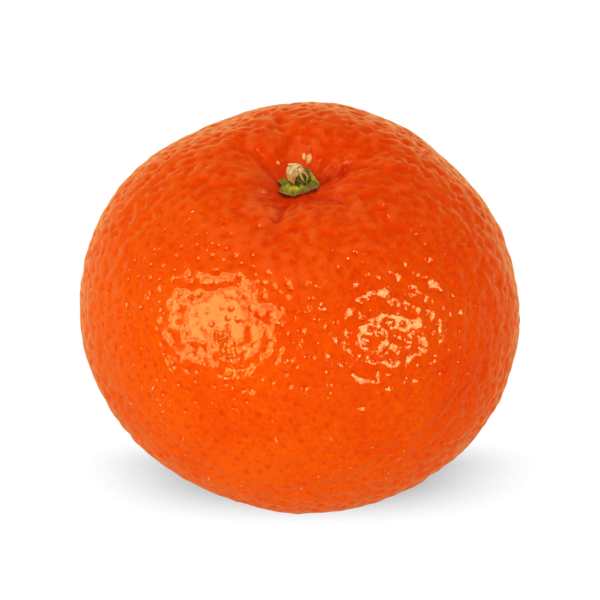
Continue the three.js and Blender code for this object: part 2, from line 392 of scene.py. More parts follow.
def bump(tree, shader, height):
    # height is in metres
    made = add(tree, "Bump")
    made.inputs["Strength"].default_value = 1.0
    made.inputs["Distance"].default_value = 1.0
    tree.links.new(height, made.inputs["Height"])
    tree.links.new(made.outputs[0], shader.inputs["Normal"])


def dress(tree, shader, colour, look, height):
    # a dull skin: its colour, its look's roughness and shine, and its relief
    tree.links.new(colour, shader.inputs["Base Color"])
    shader.inputs["Roughness"].default_value = look["roughness"]
    shader.inputs["Specular IOR Level"].default_value = look["shine"]
    bump(tree, shader, height)


# the calyx: sepals grown together into a lumpy cushion, thin and ragged at the rim

calyx = {
    "middle": (0.06, 0.66), "hubHeight": 0.95, "edgeHeight": 0.46, "sunk": 0.10,
    "lumpHeight": 0.12, "lumpLength": 0.9,
    "segments": 220, "rings": 34,
    "freshAndLit": (0.60, 0.53, 0.030), "deep": (0.165, 0.175, 0.006), "straw": (0.55, 0.28, 0.06),
    "torn": (0.13, 0.050, 0.012), "tornFlesh": (0.40, 0.18, 0.055), "shade": (0.035, 0.045, 0.002),
    "roughness": 0.7, "shine": 0.12,
    "gapShadow": (1.85, -1.12),           # the middle of a painted shadow in the gap under its torn edge, from its middle
}
# its rim, seen from its middle: azimuth, distance and how far the edge is lifted off the peel, in mm
rim = [
    (348, 2.48, 0.0), (358, 2.62, 0.03), (8, 2.52, 0.10), (20, 2.30, 0.20), (34, 2.15, 0.40),
    (50, 2.20, 0.72), (64, 2.42, 0.95), (80, 2.05, 0.70), (100, 1.75, 0.20), (125, 1.85, 0.15),
    (143, 2.15, 0.15), (156, 2.70, 0.22), (166, 3.36, 0.32), (171, 3.02, 0.20), (181, 2.70, 0.08),
    (192, 2.78, 0.06), (201, 3.10, 0.10), (207, 3.50, 0.16), (212, 3.12, 0.06), (222, 2.78, 0.02),
    (236, 2.55, 0.02), (250, 2.45, 0.03), (262, 2.22, 0.02), (276, 1.95, 0.0), (292, 1.80, 0.0),
    (310, 1.75, 0.0), (324, 1.85, 0.0), (336, 2.16, 0.0),
]
# swollen parts of its top: azimuth, distance from its middle, height and reach in mm, and the painted
# light on it
lobes = [
    (252, 1.75, 0.34, 0.52, 1.0), (226, 2.05, 0.20, 0.50, 0.7), (203, 2.35, 0.16, 0.55, 0.5),
    (288, 1.35, 0.16, 0.40, 0.5), (14, 1.95, 0.26, 0.60, 0.7), (44, 2.00, 0.34, 0.60, 0.8),
    (164, 2.35, 0.16, 0.50, 0.4), (338, 1.60, 0.14, 0.35, 0.3), (100, 1.60, 0.15, 0.60, 0.3),
]
tornEdge = {"azimuth": 336, "halfAngle": 22}


def turnFrom(azimuth, degrees):
    # signed angle from a direction in degrees to an azimuth in radians, in degrees
    a = azimuth - math.radians(degrees)
    return np.degrees(np.arctan2(np.sin(a), np.cos(a)))


def calyxReach(azimuth, column=1):
    # the rim's distance from the calyx's middle, or with column 2 its lift, straight between the points
    turns, values = np.array(rim, float)[:, 0], np.array(rim, float)[:, column]
    return np.interp(np.degrees(azimuth) % 360, turns, values, period=360)


# the peel

peel = {
    "cells": 127,                    # along each edge of the cube grid
    "pores": 3100, "poreJitter": 0.34, "poreCrowding": 1.06,
    "poreDepth": 0.27, "poreRadius": 0.72,        # the wide bowl in the mesh, mm
    "pitDepth": 0.085, "pitRadius": 0.56,         # the crisp pit in the bump, mm
    "glands": 5200, "glandJitter": 0.45, "glandRadius": 0.34,
    "flecks": 700,
    "swellLength": 10.5, "swellHeight": 0.05,     # slow, middling and quick waves of the skin, mm
    "rollLength": 4.0, "rollHeight": 0.028,
    "rippleLength": 2.3, "rippleHeight": 0.022,
    "pebbleLength": 1.9, "pebbleHeight": 0.050,   # the lobes of the crown
    "wrinkleHeight": 0.15,                        # creases that run out from the calyx
    "inset": 0.06,                                # keeps every wave inside the CAD's outline
    "tightToward": (241, 31),        # azimuth and elevation where the skin is tightest,
    "coarseToward": (322, 25),       # where it is coarsest
    "yellowToward": (225, -35),      # and where it is yellowest
    "grainLength": 0.60, "grainHeight": 0.018, "coarseGrain": 0.015,    # relief in the bump, mm
    "wavyLength": 1.5, "wavyHeight": 0.070, "crownWavy": 0.05,
    "roughLength": 1.15, "roughHeight": 0.17,
    "crinkleLength": 1.5, "crinkleHeight": 0.75,
    "creaseHeight": 0.20, "markHeight": 0.02,
    "orange": (0.86, 0.070, 0.0004), "yellower": (0.90, 0.102, 0.0008), "redder": (0.82, 0.042, 0.0003),
    # the second of these is painted shade for the crown's hollow and folds
    "poreTint": (0.74, 0.031, 0.0003), "foldShadeTint": (0.72, 0.024, 0.0002),
    # painted light on ridges, and painted shade in dimples and creases
    "ridgeLightTint": (0.90, 0.105, 0.011), "creaseShadeTint": (0.80, 0.040, 0.0003),
    # painted light on the crown's crease ridges, and the painted shadow by the calyx's rim
    "streakLightTint": (0.88, 0.15, 0.035), "rimShadowTint": (0.10, 0.012, 0.001),
    "markTint": (0.93, 0.55, 0.19), "crinkleTint": (0.95, 0.40, 0.03),
    "roughness": 0.055, "ior": 1.46, "sheen": (1.0, 0.82, 0.27),
}
# patches where the wax is crinkled, as lines with a reach round them, in mm
crinkles = [
    {"from": (-10.6, -23.8, 42.6), "to": (-9.2, -26.9, 39.4), "reach": 2.3},
    {"from": (-18.3, -22.9, 37.8), "to": (-17.6, -23.8, 36.8), "reach": 0.8},
]
# pale marks by the calyx: azimuth, distance from the axis, length and width in mm, turn, strength
paleMarks = [
    (85.6, 6.10, 1.40, 0.27, 88, 1.0),
    (78.0, 5.50, 1.15, 0.40, 80, 1.0),
    (121.3, 5.92, 0.46, 0.24, 140, 1.0),
    (114.0, 7.88, 0.22, 0.17, 90, 0.9),
    (131.2, 9.17, 0.30, 0.13, 150, 0.7),
    (135.5, 8.27, 0.26, 0.10, 20, 0.5),
    (140.6, 6.15, 0.50, 0.10, 160, 0.6),
    (62.7, 10.46, 0.18, 0.14, 0, 0.5),
]
# short bright scratches on the front and a painted glint: azimuth, elevation, length and width in mm,
# turn, strength
scratchesAndGlint = [
    (229.3, 12.5, 0.42, 0.10, 75, 0.9),
    (228.0, 10.6, 0.60, 0.08, 40, 0.6),
    (231.2, 9.9, 0.26, 0.13, 60, 1.0),
    (232.2, 9.0, 0.24, 0.12, 120, 1.0),
    # a painted glint
    (262.5, 39.3, 0.30, 0.12, 150, 0.9),
    (246.0, -0.8, 0.50, 0.07, 20, 0.7),
    (291.4, -5.5, 0.34, 0.08, 70, 0.6),
    (282.0, 4.0, 0.30, 0.08, 100, 0.6),
]


def towards(points, heading):
    # cosine of the angle between a point, seen from the fruit's middle, and an azimuth and elevation
    return normalised(points - (0, 0, form["centreHeight"])) @ unit(*heading)


def crownShare(points):
    # 0 by the calyx, where the skin is smooth and creased, to 1 past the shoulder
    radius = np.hypot(points[:, 0], points[:, 1])
    return np.where(points[:, 2] > form["centreHeight"], smoothstep(radius, 3.5, 12), 1.0)


def restShare(points):
    # 0 on the ring that the fruit rests on, to 1 clear of it
    radius = np.hypot(points[:, 0], points[:, 1])
    return np.where(points[:, 2] < form["centreHeight"], smoothstep(radius, 8.6, 13), 1.0)


def crownWrinkles(points):
    # ridges that run out from the calyx: waves that are short round the axis and long outwards
    radius, azimuth = polar(points)
    bent = azimuth + 0.12 * waves(points, 9.0, 24, 5)
    tube = np.stack([5.0 * np.cos(bent), 5.0 * np.sin(bent), radius], 1)
    fine = waves(tube * (1, 1, 0.16), 1.25, 40, 8) * band(radius, 2.2, 4.0, 6.5, 17)
    coarse = waves(tube * (1, 1, 0.10), 2.6, 40, 9) * band(radius, 3.0, 7.0, 9, 16)
    return np.where(points[:, 2] > form["centreHeight"], 0.55 * fine + coarse, 0)


def makePeel():
    # height over the smooth skin = slow and quick waves + crown wrinkles - a bowl, exp(-(gap/radius)^2),
    # for each of the four nearest pores - folds - inset, times 0 on the rest ring to 1 clear of it
    directions, quads, corners = cubeSphere(peel["cells"])
    smooth = peelPoint(directions)
    poreDirections = spiralDirections(peel["pores"], peel["poreJitter"], 31, peel["poreCrowding"])
    pores = peelPoint(poreDirections)
    rng = np.random.default_rng(3)
    size = rng.uniform(0.75, 1.25, len(pores))
    deep = 0.40 + 1.0 * rng.uniform(0, 1, len(pores)) ** 1.2
    pored = (0.6 + 0.4 * crownShare(pores)) * restShare(pores)
    # pores are shallowest where the skin is tightest, and deeper low on the sides
    tight = towards(pores, peel["tightToward"]) + 0.04 * waves(pores, 8, 24, 29)
    low = smoothstep(-pores[:, 2], -form["centreHeight"], -4.0)
    bowl = pored * (1 + 0.6 * low) * (1 - 0.60 * smoothstep(tight, 0.70, 0.93))

    near, gap = nearestOf(smooth, pores, 4)
    bowls = np.exp(-((gap / (peel["poreRadius"] * size[near])) ** 2)) * (deep * bowl)[near]
    relief = -peel["poreDepth"] * bowls.sum(1)
    coarse = towards(smooth, peel["coarseToward"]) + 0.08 * waves(smooth, 9, 24, 23)
    coarse = smoothstep(coarse, 0.45, 0.92)
    relief += peel["swellHeight"] * waves(smooth, peel["swellLength"], 48, 12)
    relief += peel["rollHeight"] * waves(smooth, peel["rollLength"], 64, 14) * (1 + 0.3 * coarse)
    ripple = waves(smooth, peel["rippleLength"], 64, 13) * (1 + 0.8 * coarse)
    relief += peel["rippleHeight"] * ripple * (0.4 + 0.6 * crownShare(smooth))
    radius = np.hypot(smooth[:, 0], smooth[:, 1])
    top = smooth[:, 2] > form["centreHeight"]
    pebbled = band(radius, 3.5, 7, 11, 18) * top
    pebbles = waves(smooth, peel["pebbleLength"], 64, 18)
    wrinkles = crownWrinkles(smooth)
    relief += peel["pebbleHeight"] * pebbled * pebbles + peel["wrinkleHeight"] * wrinkles
    # how much a point of the crown or the lower side stands out, for painted light on its ridges and
    # painted shade in its dimples and creases: -1 to 1
    shoulder = band(radius, 2.5, 5, 14, 24) * top
    ridgeShading = (0.35 * pebbles + 0.40 * wrinkles) * shoulder
    lowSide = smoothstep(form["centreHeight"] - smooth[:, 2], 6, 20)
    ridgeShading = np.clip(ridgeShading - 1.5 * (bowls.sum(1) - 0.45) * np.maximum(shoulder, lowSide), -1, 1)
    foldDepth, foldShade = crownFolds(smooth)
    relief -= foldDepth
    relief = (relief - peel["inset"]) * restShare(smooth)
    # no point passes the CAD's box, left or right, front or back
    for axis, end in ((0, 0), (0, 1), (1, 0), (1, 1)):
        limit = cadBox[end][axis] / mm
        facing = directions[:, axis] * np.sign(limit)
        room = np.where(facing > 0.9, np.abs(limit) - smooth[:, axis] * np.sign(limit), 9.0)
        relief = np.minimum(relief, room / np.maximum(facing, 0.9))
    points = peelPoint(directions, relief)
    piece = makeObject("peel", points, quads.tolist(), corners)

    # each face knows its nearest pore, gland and mark, so that the shader can draw them sharp
    middles = points[quads].mean(1)
    pores = peelPoint(poreDirections, -peel["inset"])
    place = nearestOf(middles, pores, 1)[0][:, 0]
    giveAttribute(piece, "poreCentre", pores[place] * mm, "FACE")
    darkness = rng.uniform(0.25, 1.0, len(pores)) * (0.35 + 0.65 * pored) * (1 + 0.7 * low)
    look = np.stack([peel["pitRadius"] * size * mm, peel["pitDepth"] * deep * pored * mm, darkness], 1)
    giveAttribute(piece, "poreLook", look[place], "FACE")
    glands = peelPoint(spiralDirections(peel["glands"], peel["glandJitter"], 57), -peel["inset"])
    place = nearestOf(middles, glands, 1)[0][:, 0]
    giveAttribute(piece, "glandCentre", glands[place] * mm, "FACE")
    look = np.stack([peel["glandRadius"] * rng.uniform(0.6, 1.4, len(glands)) * mm,
                     rng.uniform(0, 1, len(glands)) ** 2, np.zeros(len(glands))], 1)
    giveAttribute(piece, "glandLook", look[place], "FACE")
    addMarks(piece, middles)

    # slow changes of colour over the fruit, and where the skin is coarser
    # yellower towards the lower front left, redder low down
    tone = 0.5 + 0.42 * towards(smooth, peel["yellowToward"])
    tone += 0.07 * waves(smooth, 14, 24, 21) + 0.04 * waves(smooth, 6, 24, 22)
    tone -= 0.50 * smoothstep(form["centreHeight"] - smooth[:, 2], 9, 21)
    giveAttribute(piece, "yellowShare", np.clip(tone, 0, 1), "POINT")
    giveAttribute(piece, "coarseness", coarse, "POINT")

    # painted shade: deeper red down in the hollow and the folds; a painted brown shadow where the calyx's
    # rim shades the skin
    hollow = (1 - smoothstep(radius, 2.5, 9.0)) * 0.75 * top
    giveAttribute(piece, "foldShade", np.clip(foldShade + hollow, 0, 1), "POINT")
    creased = band(radius, 2.0, 3.5, 6, 15) * top
    giveAttribute(piece, "creased", creased * (0.6 + 0.4 * waves(smooth, 5, 24, 33)).clip(0, 1), "POINT")
    giveAttribute(piece, "pebbled", pebbled, "POINT")
    giveAttribute(piece, "ridgeShading", ridgeShading, "POINT")
    matt = 0.85 * (1 - smoothstep(radius, 7, 13)) * smoothstep(smooth[:, 1], 0, 4) * top
    matt = np.maximum(matt, 0.9 * (1 - smoothstep(radius, 4.5, 7.5)) * top)
    giveAttribute(piece, "matt", np.clip(np.maximum(foldShade, matt), 0, 1), "POINT")
    # painted shadow: dark brown on the skin along the calyx's rim and in the gap under its torn edge
    offset = smooth[:, :2] - calyx["middle"]
    past = np.hypot(offset[:, 0], offset[:, 1]) - calyxReach(np.arctan2(offset[:, 1], offset[:, 0]))
    gapShadow = np.hypot(offset[:, 0] - calyx["gapShadow"][0], offset[:, 1] - calyx["gapShadow"][1])
    shade = np.maximum(1 - smoothstep(past, 0.0, 0.50), 1.2 * (1 - smoothstep(gapShadow, 0.25, 0.70)))
    giveAttribute(piece, "rimShade", shade * top, "POINT")
    crinkled = np.zeros(len(smooth))
    for patch in crinkles:
        ends = np.array([patch["from"], patch["to"]], float)
        along = ends[1] - ends[0]
        share = np.clip((smooth - ends[0]) @ along / (along @ along), 0, 1)
        gap = np.linalg.norm(smooth - ends[0] - share[:, None] * along, axis=1)
        crinkled = np.maximum(crinkled, 1 - smoothstep(gap, 0.35 * patch["reach"], patch["reach"]))
    giveAttribute(piece, "crinkle", crinkled, "POINT")
    return piece


def addMarks(piece, middles):
    # marks are ellipses on the skin: the pale marks by the calyx, the scratches and a painted glint, and
    # seeded flecks all over, with more of them low on the front; a face takes the one whose ellipse,
    # (a/length)^2 + (b/width)^2, is nearest
    rng = np.random.default_rng(91)
    azimuth, radius, half, width, turn, strength = np.array(paleMarks, float).T
    azimuth, turn = np.radians(azimuth), np.radians(turn)
    x, y = radius * np.cos(azimuth), radius * np.sin(azimuth)
    centres = np.stack([x, y, peelHeight(x, y) - peel["inset"]], 1)
    along = np.stack([np.cos(turn), np.sin(turn), np.zeros(len(turn))], 1)
    sizes = np.stack([half, width, strength], 1)

    # the scratches and one painted glint
    across, upward, half, width, turn, strength = np.array(scratchesAndGlint, float).T
    toward = np.stack([unit(a, e) for a, e in zip(across, upward)])
    level = normalised(np.stack([-toward[:, 1], toward[:, 0], 0 * across], 1))
    turn = np.radians(turn)[:, None]
    centres = np.concatenate([centres, peelPoint(toward, -peel["inset"])])
    along = np.concatenate([along, np.cos(turn) * level + np.sin(turn) * np.cross(toward, level)])
    sizes = np.concatenate([sizes, np.stack([half, width, strength], 1)])

    flecks = peel["flecks"]
    toward = normalised(rng.normal(size=(flecks, 3)) + (0, -0.4, -0.3))
    centres = np.concatenate([centres, peelPoint(toward, -peel["inset"])])
    along = np.concatenate([along, normalised(np.cross(toward, rng.normal(size=(flecks, 3))))])
    long = rng.uniform(0.09, 0.22, flecks) * np.where(rng.random(flecks) < 0.30, 3.0, 1)
    shapes = np.stack([long, rng.uniform(0.06, 0.11, flecks), rng.uniform(0.3, 1.0, flecks)], 1)
    sizes = np.concatenate([sizes, shapes])

    near = nearestOf(middles, centres, 3)[0]
    offset = middles[:, None] - centres[near]
    lengthways = (offset * along[near]).sum(2)
    across = np.sqrt(np.maximum((offset ** 2).sum(2) - lengthways ** 2, 0))
    far = np.hypot(lengthways / sizes[near, 0], across / sizes[near, 1])
    place = np.take_along_axis(near, far.argmin(1)[:, None], 1)[:, 0]
    giveAttribute(piece, "markCentre", centres[place] * mm, "FACE")
    giveAttribute(piece, "markAlong", along[place], "FACE")
    giveAttribute(piece, "markSize", sizes[place] * (mm, mm, 1), "FACE")


def nearestSpot(tree, coords, name):
    # distance from the face's own pore or gland as a share of its radius, and that one's three looks
    gap = vectorMath(tree, "DISTANCE", coords, attribute(tree, name + "Centre", "Vector"), output="Value")
    look = split(tree, attribute(tree, name + "Look", "Vector"))
    return calc(tree, "DIVIDE", gap, look[0]), look


def markShare(tree, coords):
    # sqrt((a/length)^2 + (b/width)^2) in the mark's own directions, with a ragged edge, times its strength
    along = attribute(tree, "markAlong", "Vector")
    size = split(tree, attribute(tree, "markSize", "Vector"))
    offset = vectorMath(tree, "SUBTRACT", coords, attribute(tree, "markCentre", "Vector"))
    lengthways = vectorMath(tree, "DOT_PRODUCT", offset, along, output="Value")
    whole = vectorMath(tree, "DOT_PRODUCT", offset, offset, output="Value")
    across = less(tree, whole, times(tree, lengthways, lengthways))
    across = calc(tree, "SQRT", calc(tree, "MAXIMUM", across, 0.0))
    first = calc(tree, "POWER", calc(tree, "DIVIDE", calc(tree, "ABSOLUTE", lengthways), size[0]), 2.0)
    second = calc(tree, "POWER", calc(tree, "DIVIDE", across, size[1]), 2.0)
    ragged = times(tree, less(tree, noise(tree, coords, 0.25), 0.5), 0.9)
    edge = plus(tree, calc(tree, "SQRT", plus(tree, first, second)), ragged)
    return times(tree, ramp(tree, edge, 0.55, 1.2, 1.0, 0.0), size[2])


def crownCreases(tree, coords):
    # noise on a tube round the axis: quick from side to side and slow outwards, so it runs out as rays
    flat = vectorMath(tree, "MULTIPLY", coords, (1, 1, 0))
    ring = vectorMath(tree, "MULTIPLY", vectorMath(tree, "NORMALIZE", flat), (5 * mm, 5 * mm, 0))
    outward = times(tree, vectorMath(tree, "LENGTH", flat, output="Value"), 0.22)
    rise = add(tree, "CombineXYZ", 0.0, 0.0, outward).outputs[0]
    return noise(tree, vectorMath(tree, "ADD", ring, rise), 0.75, 3.0, 0.6)


def peelMaterial():
    # colour, height and wax, each a sum of noises and of the shares worked out from the attributes
    material, tree, shader = newMaterial("waxyPeel")
    coords = add(tree, "TexCoord").outputs["Object"]
    poreShare, poreLook = nearestSpot(tree, coords, "pore")
    glandShare, glandLook = nearestSpot(tree, coords, "gland")
    mark = markShare(tree, coords)
    crease, creased = crownCreases(tree, coords), attribute(tree, "creased")
    crinkle = less(tree, noise(tree, coords, peel["crinkleLength"], 0.0, 0.5, 0.9), 0.5)
    crinkle, crinkled = calc(tree, "ABSOLUTE", crinkle), attribute(tree, "crinkle")
    foldShade, coarse = attribute(tree, "foldShade"), attribute(tree, "coarseness")

    # colour: ripeness over the whole with mottling and speckles
    mottle = plus(tree, times(tree, noise(tree, coords, 1.6, 3.0), 0.5),
                  times(tree, noise(tree, coords, 5.0), 0.15),
                  times(tree, less(tree, noise(tree, coords, 0.55, 2.0, 0.6), 0.5), 1.5))
    tone = plus(tree, attribute(tree, "yellowShare"), less(tree, mottle, 0.33), clamp=True)
    colour = tinted(tree, peel["redder"], peel, (ramp(tree, tone, 0.0, 0.5), "orange"),
                    (ramp(tree, tone, 0.45, 1.0), "yellower"))
    # darker pores and glands, painted light on ridges and painted shade in dimples and creases, painted
    # shade in the hollow and folds, the calyx's painted shadow, then the marks
    dark = times(tree, ramp(tree, poreShare, 0.1, 1.1, 1.0, 0.0), poreLook[2], 0.75)
    faint = times(tree, ramp(tree, glandShare, 0.2, 1.3, 1.0, 0.0), glandLook[1], 0.6)
    ridgeShading = attribute(tree, "ridgeShading")
    colour = tinted(
        tree, colour, peel,
        (dark, "poreTint"),
        (faint, "poreTint"),
        # painted light on the ridges and painted shade in the dimples and creases between them
        (ramp(tree, ridgeShading, -0.1, 1.0, 0.0, 0.60), "ridgeLightTint"),
        (ramp(tree, ridgeShading, -1.0, 0.1, 0.75, 0.0), "creaseShadeTint"),
        # painted shade in the crown's hollow and folds
        (times(tree, foldShade, 0.6), "foldShadeTint"),
        # the calyx's painted shadow on the skin
        (times(tree, attribute(tree, "rimShade"), 0.85, clamp=True), "rimShadowTint"),
        # pale marks, one of them a painted glint
        (times(tree, mark, 0.95), "markTint"),
        (times(tree, ramp(tree, crinkle, 0.0, 0.045, 0.55, 0.0), crinkled), "crinkleTint"),
        # painted light: pale streaks on the ridges of the crown's creases
        (times(tree, ramp(tree, crease, 0.50, 0.72), creased, 0.65), "streakLightTint"),
    )
    tree.links.new(colour, shader.inputs["Base Color"])

    # height: round pits with flat bottoms, (1 - r^2)^2, in grain that is coarser where the skin is coarse
    inside = less(tree, 1.0, times(tree, poreShare, poreShare), clamp=True)
    grain = calc(tree, "MULTIPLY_ADD", coarse, peel["coarseGrain"] * mm, peel["grainHeight"] * mm)
    pebbled = attribute(tree, "pebbled")
    wavy = calc(tree, "MULTIPLY_ADD", pebbled, peel["crownWavy"] * mm, peel["wavyHeight"] * mm)
    rough = times(tree, noise(tree, coords, peel["roughLength"], 1.2, 0.4), coarse)
    height = plus(tree, times(tree, noise(tree, coords, peel["grainLength"], 1.5), grain),
                  times(tree, rough, peel["roughHeight"] * mm),
                  times(tree, noise(tree, coords, peel["wavyLength"], 3.0), wavy))
    height = less(tree, height, times(tree, inside, inside, poreLook[1]))
    height = plus(tree, height, times(tree, crinkle, peel["crinkleHeight"] * mm, crinkled),
                  times(tree, mark, peel["markHeight"] * mm),
                  times(tree, crease, creased, peel["creaseHeight"] * mm))
    bump(tree, shader, height)

    # the wax is duller on the marks and in the folds, and mirrors less in the crown
    roughness = plus(tree, peel["roughness"], times(tree, noise(tree, coords, 2.5), 0.06),
                     times(tree, mark, 0.25), times(tree, foldShade, 0.45))
    tree.links.new(roughness, shader.inputs["Roughness"])
    shine = less(tree, 0.5, times(tree, attribute(tree, "matt"), 0.50))
    tree.links.new(shine, shader.inputs["Specular IOR Level"])
    shader.inputs["IOR"].default_value = peel["ior"]
    shader.inputs["Specular Tint"].default_value = (*peel["sheen"], 1)
    return material


fruit = makePeel()
fruit.data.materials.append(peelMaterial())
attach(fruit, "root")
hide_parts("fruit")
print("peel:", len(fruit.data.polygons), "quads")


def makeCalyx():
    # height over the peel = a cushion that falls from hub to edge, a bell-shaped swelling for each
    # lobe, lumps and a lifted rim; the underside is the peel's own surface, sunk a little way into it
    segments, rings = calyx["segments"], calyx["rings"]
    azimuth = np.linspace(0, 2 * np.pi, segments, endpoint=False)
    torn = smoothstep(1 - np.abs(turnFrom(azimuth, tornEdge["azimuth"])) / tornEdge["halfAngle"], 0, 0.4)
    rng = np.random.default_rng(6)
    ragged = np.tile(rng.normal(size=segments), 3)
    ragged = np.convolve(ragged, [0.3, 0.5, 0.3], "same")[segments:2 * segments]
    reach = calyxReach(azimuth) * (1 + 0.014 * ragged) + torn * 0.08 * ragged

    # rings run from the middle of the underside out to the rim and back over the top
    out = np.concatenate([np.linspace(0.25, 1, rings // 3), 1 - np.linspace(0.006, 0.98, rings) ** 1.3])
    upper = np.arange(len(out)) >= rings // 3
    share = out[:, None] * np.ones(segments)
    radius = share * reach
    x = calyx["middle"][0] + radius * np.cos(azimuth)
    y = calyx["middle"][1] + radius * np.sin(azimuth)
    fall = smoothstep(share, 0.50, 1.02)
    top = calyx["hubHeight"] + (calyx["edgeHeight"] - calyx["hubHeight"]) * fall
    # painted light: how lit each swollen lobe looks
    bright = np.zeros(x.shape)
    for turn, place, height, width, shine in lobes:
        middle = unit(turn, 0)[:2] * place + calyx["middle"]
        bell = np.exp(-(((x - middle[0]) ** 2 + (y - middle[1]) ** 2) / width ** 2))
        top = top + height * bell
        bright = bright + shine * bell
    lumps = flatWaves(x, y, calyx["lumpLength"], 32, 4)
    top = top + calyx["lumpHeight"] * lumps * smoothstep(share, 0.15, 0.5)
    top = top - 0.16 * torn * smoothstep(share, 0.82, 0.98)
    lifted = calyxReach(azimuth, 2) * smoothstep(share, 0.55, 1.0) ** 2
    low = -calyx["sunk"] + lifted * 0.9
    height = np.where(upper[:, None], np.maximum(top, 0.14) + lifted, low)
    z = peelHeight(x, y) - peel["inset"] + height
    points = np.stack([x, y, z], -1)

    piece = makeObject("calyx_button", *closedRings(points))
    giveRings(piece, "rimShare", share * np.where(upper[:, None], 1, 1.2))
    giveRings(piece, "tornShare", share ** 6 * torn)
    giveRings(piece, "lobeLight", bright)
    return piece


def closedRings(points):
    # a skin over rings of equal counts, closed at both ends by the middle of the end ring
    rings, count, _ = points.shape
    first = np.arange(count)
    after = (first + 1) % count
    ring = np.arange(rings - 1)[:, None] * count
    skin = np.stack([ring + first, ring + after, ring + count + after, ring + count + first], -1)
    bottom, top, last = rings * count, rings * count + 1, (rings - 1) * count
    closed = np.concatenate([points.reshape(-1, 3), points[:1].mean(1), points[-1:].mean(1)])
    foot = np.stack([first * 0 + bottom, after, first], 1)
    crest = np.stack([first * 0 + top, last + first, last + after], 1)
    return closed, [*skin.reshape(-1, 4).tolist(), *foot.tolist(), *crest.tolist()]


def giveRings(piece, name, values):
    # a value for each point of the rings and, for the two end points, their rings' means
    ends = [values[0].mean(), values[-1].mean()]
    giveAttribute(piece, name, np.concatenate([values.ravel(), ends]), "POINT")


def calyxMaterial():
    # deep green to a lighter yellow-green by patches and by painted light on the swollen lobes, with
    # painted shade round the middle, then straw and brown towards the dry, torn rim
    material, tree, shader = newMaterial("calyxGreen")
    coords = add(tree, "TexCoord").outputs["Object"]
    rimShare = attribute(tree, "rimShare")
    patch = noise(tree, coords, 0.9, 4.0, 0.6)
    fine = noise(tree, coords, 0.25, 3.0, 0.6)
    freshAndLit = plus(tree, times(tree, attribute(tree, "lobeLight"), 0.55), times(tree, patch, 0.8))
    dry = plus(tree, rimShare, times(tree, less(tree, patch, 0.5), 0.55))
    colour = tinted(
        tree, calyx["deep"], calyx,
        # lighter by patches and by painted light on the lobes
        (ramp(tree, freshAndLit, 0.38, 0.95), "freshAndLit"),
        # painted shade round the middle, under the stem
        (ramp(tree, rimShare, 0.35, 0.58, 0.8, 0.0), "shade"),
        (ramp(tree, dry, 0.95, 1.08), "straw"),
        (ramp(tree, dry, 1.06, 1.18), "torn"),
        (times(tree, ramp(tree, fine, 0.52, 0.7), 0.35), "torn"),
        (ramp(tree, attribute(tree, "tornShare"), 0.25, 0.5), "tornFlesh"),
    )
    height = plus(tree, times(tree, patch, 0.35 * mm), times(tree, fine, 0.15 * mm))
    dress(tree, shader, colour, calyx, height)
    return material


button = makeCalyx()
button.data.materials.append(calyxMaterial())
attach(button, "root")
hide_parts("calyx")
print("calyx:", len(button.data.polygons), "faces")


# the stem stub: a ribbed green core and, torn loose from it, a cap and shreds of dry fibre

stem = {
    "foot": (0.22, 0.55), "footRadius": 1.12, "topRadius": 0.80, "footHeight": 0.80, "topHeight": 2.35,
    "lean": (-0.35, 0.05), "ribs": 9, "ribDepth": 0.06,
    "green": (0.16, 0.19, 0.016), "darkGreen": (0.05, 0.065, 0.004),
    "roughness": 0.8, "shine": 0.06,
}
fibre = {
    "pale": (0.84, 0.70, 0.32), "tan": (0.60, 0.31, 0.085), "dark": (0.12, 0.045, 0.012),
    "capMiddle": (-0.72, 0.62), "capLow": 1.75, "capHigh": 3.30, "capRadius": (1.22, 0.92),
    "thickness": 0.15, "squeeze": 0.55, "looseOnes": 16,
    "roughness": 0.85, "shine": 0.08,
}
# strips of fibre: points from the axis and over the crown's level, width in mm and how pale each is
fixedStrips = [
    # the flap that hangs on the left, as strips side by side
    *[([(-1.2 + 0.3 * k, 0.9 - 0.35 * k, 3.0),
        (-1.95 + 0.22 * k, 0.75 - 0.42 * k, 2.5),
        (-1.9 + 0.24 * k, 0.35 - 0.30 * k, 1.8),
        (-1.55 + 0.20 * k, 0.05 - 0.22 * k, 1.15)], 0.55, 0.62 - 0.08 * k) for k in range(4)],
    ([(-0.75, 0.2, 2.6), (-0.85, -0.28, 2.1), (-0.95, -0.42, 1.35), (-1.02, -0.52, 0.95)], 0.42, 0.5),
    # two curls that hang in front of the core on the right, and one behind it
    ([(-0.30, 0.15, 2.75), (-0.02, -0.25, 2.55), (0.22, -0.58, 2.1), (0.44, -0.52, 1.6)], 0.50, 0.50),
    ([(0.05, 0.35, 2.75), (0.62, 0.10, 2.65), (0.98, -0.25, 2.1), (0.80, -0.42, 1.5)], 0.56, 0.40),
    ([(0.1, 0.8, 2.7), (0.85, 0.8, 2.5), (1.25, 0.6, 1.8), (1.35, 0.45, 1.2)], 0.50, 0.12),
    # thin ones that lie over the top of the cap and stick out at the back
    ([(0.1, 0.9, 3.15), (-0.55, 0.95, 3.52), (-1.2, 0.95, 3.50), (-1.8, 0.95, 3.42)], 0.24, 1.0),
    ([(0.35, 0.85, 3.05), (-0.05, 0.60, 3.34), (-0.50, 0.25, 3.34), (-0.95, -0.12, 2.95)], 0.13, 0.22),
    ([(0.35, 0.4, 2.6), (-0.05, 0.42, 3.12), (-0.7, 0.1, 3.1), (-1.2, -0.1, 2.6)], 0.24, 0.9),
]
crownLevel = float(peelHeight(0.0, 0.0))


